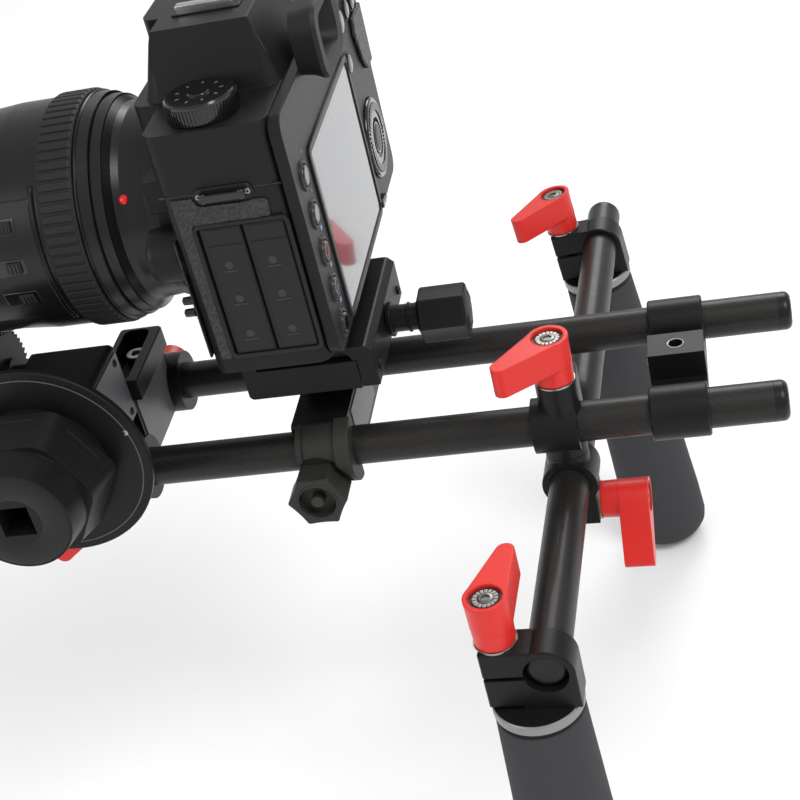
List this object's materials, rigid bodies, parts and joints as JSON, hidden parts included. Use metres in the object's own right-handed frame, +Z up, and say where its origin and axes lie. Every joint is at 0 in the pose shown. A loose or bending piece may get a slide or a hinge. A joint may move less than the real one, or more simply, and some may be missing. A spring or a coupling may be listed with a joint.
{
  "type": "camera shoulder rig",
  "caption": "Two-rod camera rig with quick-release plate, camera and lens, follow focus, cross bar on a swivelling clamp and two foam side handles set by red levers",
  "frame": {"origin": "on the axis of the vertical tripod thread in the base block, at the height of the two main rods' axes", "axes": "+X along the rods towards the rear of the rig, +Y to the rig's right side, +Z up"},
  "size_m": [0.3145, 0.3221, 0.3654],
  "materials": {
    "anodised_black": "satin",
    "anodised_olive": "satin",
    "carbon_tube": "satin",
    "cap_plastic": "satin",
    "lever_red": "satin",
    "steel_insert": "satin",
    "foam": "matte",
    "camera_shell": "satin",
    "control_plastic": "gloss",
    "cover_rubber": "matte",
    "screen": "polished",
    "lens_shell": "satin",
    "lens_glass": "polished",
    "lens_steel": "polished",
    "gear_plastic": "matte"
  },
  "bodies": {
    "base": {"base_block": "anodised_black", "base_jaw": "anodised_olive", "riser": "anodised_black", "qr_base": "anodised_black", "camera_plate": "anodised_black", "camera_body": "camera_shell", "camera_back": "camera_shell", "camera_top": "camera_shell", "screen_glass": "screen", "lens_mount": "lens_steel", "lens_barrel": "lens_shell", "lens_glass": "lens_glass"},
    "base_knob": {"base_knob": "anodised_olive"},
    "qr_jaw": {"qr_jaw": "anodised_black"},
    "qr_knob": {"qr_knob": "anodised_black"},
    "zoom_ring": {"zoom_ring": "cover_rubber"},
    "focus_ring": {"focus_ring": "gear_plastic"},
    "mode_dial": {"mode_dial": "control_plastic"},
    "rear_dial": {"rear_dial": "control_plastic"},
    "shutter_button": {"shutter_button": "control_plastic"},
    "lens_release": {"lens_release": "control_plastic"},
    "port_cover_front": {"port_cover_front": "cover_rubber"},
    "port_cover_rear": {"port_cover_rear": "cover_rubber"},
    "battery_door": {"battery_door": "camera_shell"},
    "rods": {"rod_left": "carbon_tube", "rod_right": "carbon_tube", "rod_end_caps": "cap_plastic", "rear_bridge": "anodised_black"},
    "rod_clamp": {"rod_clamp": "anodised_black"},
    "lever_rod": {"lever_rod": "lever_red", "lever_rod_insert": "steel_insert"},
    "bar_clamp": {"bar_clamp": "anodised_black"},
    "lever_bar": {"lever_bar": "lever_red", "lever_bar_insert": "steel_insert"},
    "cross_bar": {"cross_bar": "carbon_tube", "bar_end_caps": "cap_plastic"},
    "handle_near": {"handle_clamp_near": "anodised_black", "handle_core_near": "anodised_black", "grip_near": "foam"},
    "lever_near": {"lever_near": "lever_red", "lever_near_insert": "steel_insert"},
    "handle_far": {"handle_clamp_far": "anodised_black", "handle_core_far": "anodised_black", "grip_far": "foam"},
    "lever_far": {"lever_far": "lever_red", "lever_far_insert": "steel_insert"},
    "focus_bracket": {"focus_bracket": "anodised_black", "focus_arm": "anodised_black", "focus_gearbox": "anodised_black"},
    "focus_lever_left": {"focus_lever_left": "lever_red"},
    "focus_lever_right": {"focus_lever_right": "lever_red"},
    "focus_disc": {"focus_disc": "anodised_black"},
    "focus_wheel": {"focus_wheel": "anodised_black"},
    "drive_gear": {"drive_gear": "gear_plastic"},
    "back_button_1": {"back_button_1": "control_plastic"},
    "back_button_2": {"back_button_2": "control_plastic"},
    "back_button_3": {"back_button_3": "control_plastic"},
    "back_button_4": {"back_button_4": "control_plastic"},
    "back_button_5": {"back_button_5": "control_plastic"}
  },
  "joints": [
    {"name": "rods_slide", "type": "slide", "parent": "base", "child": "rods", "axis": [1, 0, 0], "range_m": [-0.015, 0.006]},
    {"name": "base_knob_turn", "type": "hinge", "parent": "base", "child": "base_knob", "pos_m": [-0.0012, -0.044, -0.0098], "axis": [0, 1, 0], "range_deg": [-180, 180]},
    {"name": "qr_jaw_slide", "type": "slide", "parent": "base", "child": "qr_jaw", "axis": [1, 0, 0], "range_m": [0, 0.003]},
    {"name": "qr_knob_turn", "type": "hinge", "parent": "qr_jaw", "child": "qr_knob", "pos_m": [0.045, 0.008, 0.0305], "axis": [-1, 0, 0], "range_deg": [0, 1081]},
    {"name": "zoom_ring_turn", "type": "hinge", "parent": "base", "child": "zoom_ring", "pos_m": [-0.065, 0, 0.098], "axis": [1, 0, 0], "range_deg": [-40, 40]},
    {"name": "mode_dial_turn", "type": "hinge", "parent": "base", "child": "mode_dial", "pos_m": [-0.002, -0.043, 0.148], "axis": [0, 0, 1], "range_deg": [-120, 120]},
    {"name": "rear_dial_turn", "type": "hinge", "parent": "base", "child": "rear_dial", "pos_m": [0.025, 0.067, 0.08], "axis": [1, 0, 0], "continuous": true},
    {"name": "shutter_press", "type": "slide", "parent": "base", "child": "shutter_button", "axis": [0, 0, -1], "range_m": [0, 0.0015], "stiffness_N_per_m": 400},
    {"name": "lens_release_press", "type": "slide", "parent": "base", "child": "lens_release", "axis": [1, 0, 0], "range_m": [0, 0.002], "stiffness_N_per_m": 400},
    {"name": "back_button_1_press", "type": "slide", "parent": "base", "child": "back_button_1", "axis": [-1, 0, 0], "range_m": [0, 0.0008], "stiffness_N_per_m": 400},
    {"name": "back_button_2_press", "type": "slide", "parent": "base", "child": "back_button_2", "axis": [-1, 0, 0], "range_m": [0, 0.0008], "stiffness_N_per_m": 400},
    {"name": "back_button_3_press", "type": "slide", "parent": "base", "child": "back_button_3", "axis": [-1, 0, 0], "range_m": [0, 0.0008], "stiffness_N_per_m": 400},
    {"name": "back_button_4_press", "type": "slide", "parent": "base", "child": "back_button_4", "axis": [-1, 0, 0], "range_m": [0, 0.0008], "stiffness_N_per_m": 400},
    {"name": "back_button_5_press", "type": "slide", "parent": "base", "child": "back_button_5", "axis": [-1, 0, 0], "range_m": [0, 0.0008], "stiffness_N_per_m": 400},
    {"name": "port_cover_front_hinge", "type": "hinge", "parent": "base", "child": "port_cover_front", "pos_m": [-0.00995, -0.05605, 0.087], "axis": [0, 0, -1], "range_deg": [0, 85]},
    {"name": "port_cover_rear_hinge", "type": "hinge", "parent": "base", "child": "port_cover_rear", "pos_m": [0.00515, -0.05605, 0.087], "axis": [0, 0, -1], "range_deg": [0, 85]},
    {"name": "battery_door_hinge", "type": "hinge", "parent": "base", "child": "battery_door", "pos_m": [-0.018, 0.073, 0.056], "axis": [0, 1, 0], "range_deg": [0, 80]},
    {"name": "rod_clamp_slide", "type": "slide", "parent": "rods", "child": "rod_clamp", "axis": [1, 0, 0], "range_m": [-0.013, 0.02]},
    {"name": "lever_rod_turn", "type": "hinge", "parent": "rod_clamp", "child": "lever_rod", "pos_m": [0.0919, -0.03, 0.02], "axis": [0, 0, 1], "range_deg": [-55, 55]},
    {"name": "bar_swivel", "type": "hinge", "parent": "rod_clamp", "child": "bar_clamp", "pos_m": [0.0914, -0.03, -0.012], "axis": [0, 0, 1], "range_deg": [-20, 20]},
    {"name": "lever_bar_turn", "type": "hinge", "parent": "bar_clamp", "child": "lever_bar", "pos_m": [0.10019, -0.03042, -0.0364], "axis": [0.9989, -0.0471, 0], "range_deg": [-60, 60]},
    {"name": "cross_bar_slide", "type": "slide", "parent": "bar_clamp", "child": "cross_bar", "axis": [0.0471, 0.9989, 0], "range_m": [-0.015, 0.015]},
    {"name": "handle_near_tilt", "type": "hinge", "parent": "cross_bar", "child": "handle_near", "pos_m": [0.08671, -0.12939, -0.023], "axis": [0.0471, 0.9989, 0], "range_deg": [-40, 40]},
    {"name": "lever_near_turn", "type": "hinge", "parent": "handle_near", "child": "lever_near", "pos_m": [0.07105, -0.12865, -0.01354], "axis": [-0.0087, 0.0004, 1], "range_deg": [-40, 40]},
    {"name": "handle_far_tilt", "type": "hinge", "parent": "cross_bar", "child": "handle_far", "pos_m": [0.09976, 0.1473, -0.023], "axis": [0.0471, 0.9989, 0], "range_deg": [-40, 40]},
    {"name": "lever_far_turn", "type": "hinge", "parent": "handle_far", "child": "lever_far", "pos_m": [0.08328, 0.14808, -0.01505], "axis": [-0.1027, 0.0048, 0.9947], "range_deg": [-40, 40]},
    {"name": "focus_bracket_slide", "type": "slide", "parent": "rods", "child": "focus_bracket", "axis": [1, 0, 0], "range_m": [-0.015, 0.004]},
    {"name": "focus_lever_left_turn", "type": "hinge", "parent": "focus_bracket", "child": "focus_lever_left", "pos_m": [-0.086, -0.043, 0.002], "axis": [0, -1, 0], "range_deg": [-40, 40]},
    {"name": "focus_lever_right_turn", "type": "hinge", "parent": "focus_bracket", "child": "focus_lever_right", "pos_m": [-0.086, 0.043, -0.008], "axis": [0, 1, 0], "range_deg": [-40, 40]},
    {"name": "focus_wheel_turn", "type": "hinge", "parent": "focus_bracket", "child": "focus_wheel", "pos_m": [-0.0915, -0.08, 0.0315], "axis": [0, 1, 0], "range_deg": [-110, 110]},
    {"name": "focus_disc_turn", "type": "hinge", "parent": "focus_bracket", "child": "focus_disc", "pos_m": [-0.0915, -0.0655, 0.0315], "axis": [0, 1, 0], "range_deg": [-90, 90]},
    {"name": "drive_gear_turn", "type": "hinge", "parent": "focus_bracket", "child": "drive_gear", "pos_m": [-0.115, -0.014, 0.03994], "axis": [1, 0, 0], "range_deg": [-110, 110]},
    {"name": "focus_ring_turn", "type": "hinge", "parent": "base", "child": "focus_ring", "pos_m": [-0.122, 0, 0.098], "axis": [1, 0, 0], "range_deg": [-45, 45]}
  ],
  "couplings": [
    {"joint": "qr_knob_turn", "follows": "qr_jaw_slide", "rad_per_m": 6283.2},
    {"joint": "drive_gear_turn", "follows": "focus_wheel_turn", "ratio": 1},
    {"joint": "focus_ring_turn", "follows": "focus_wheel_turn", "ratio": -0.40566}
  ]
}
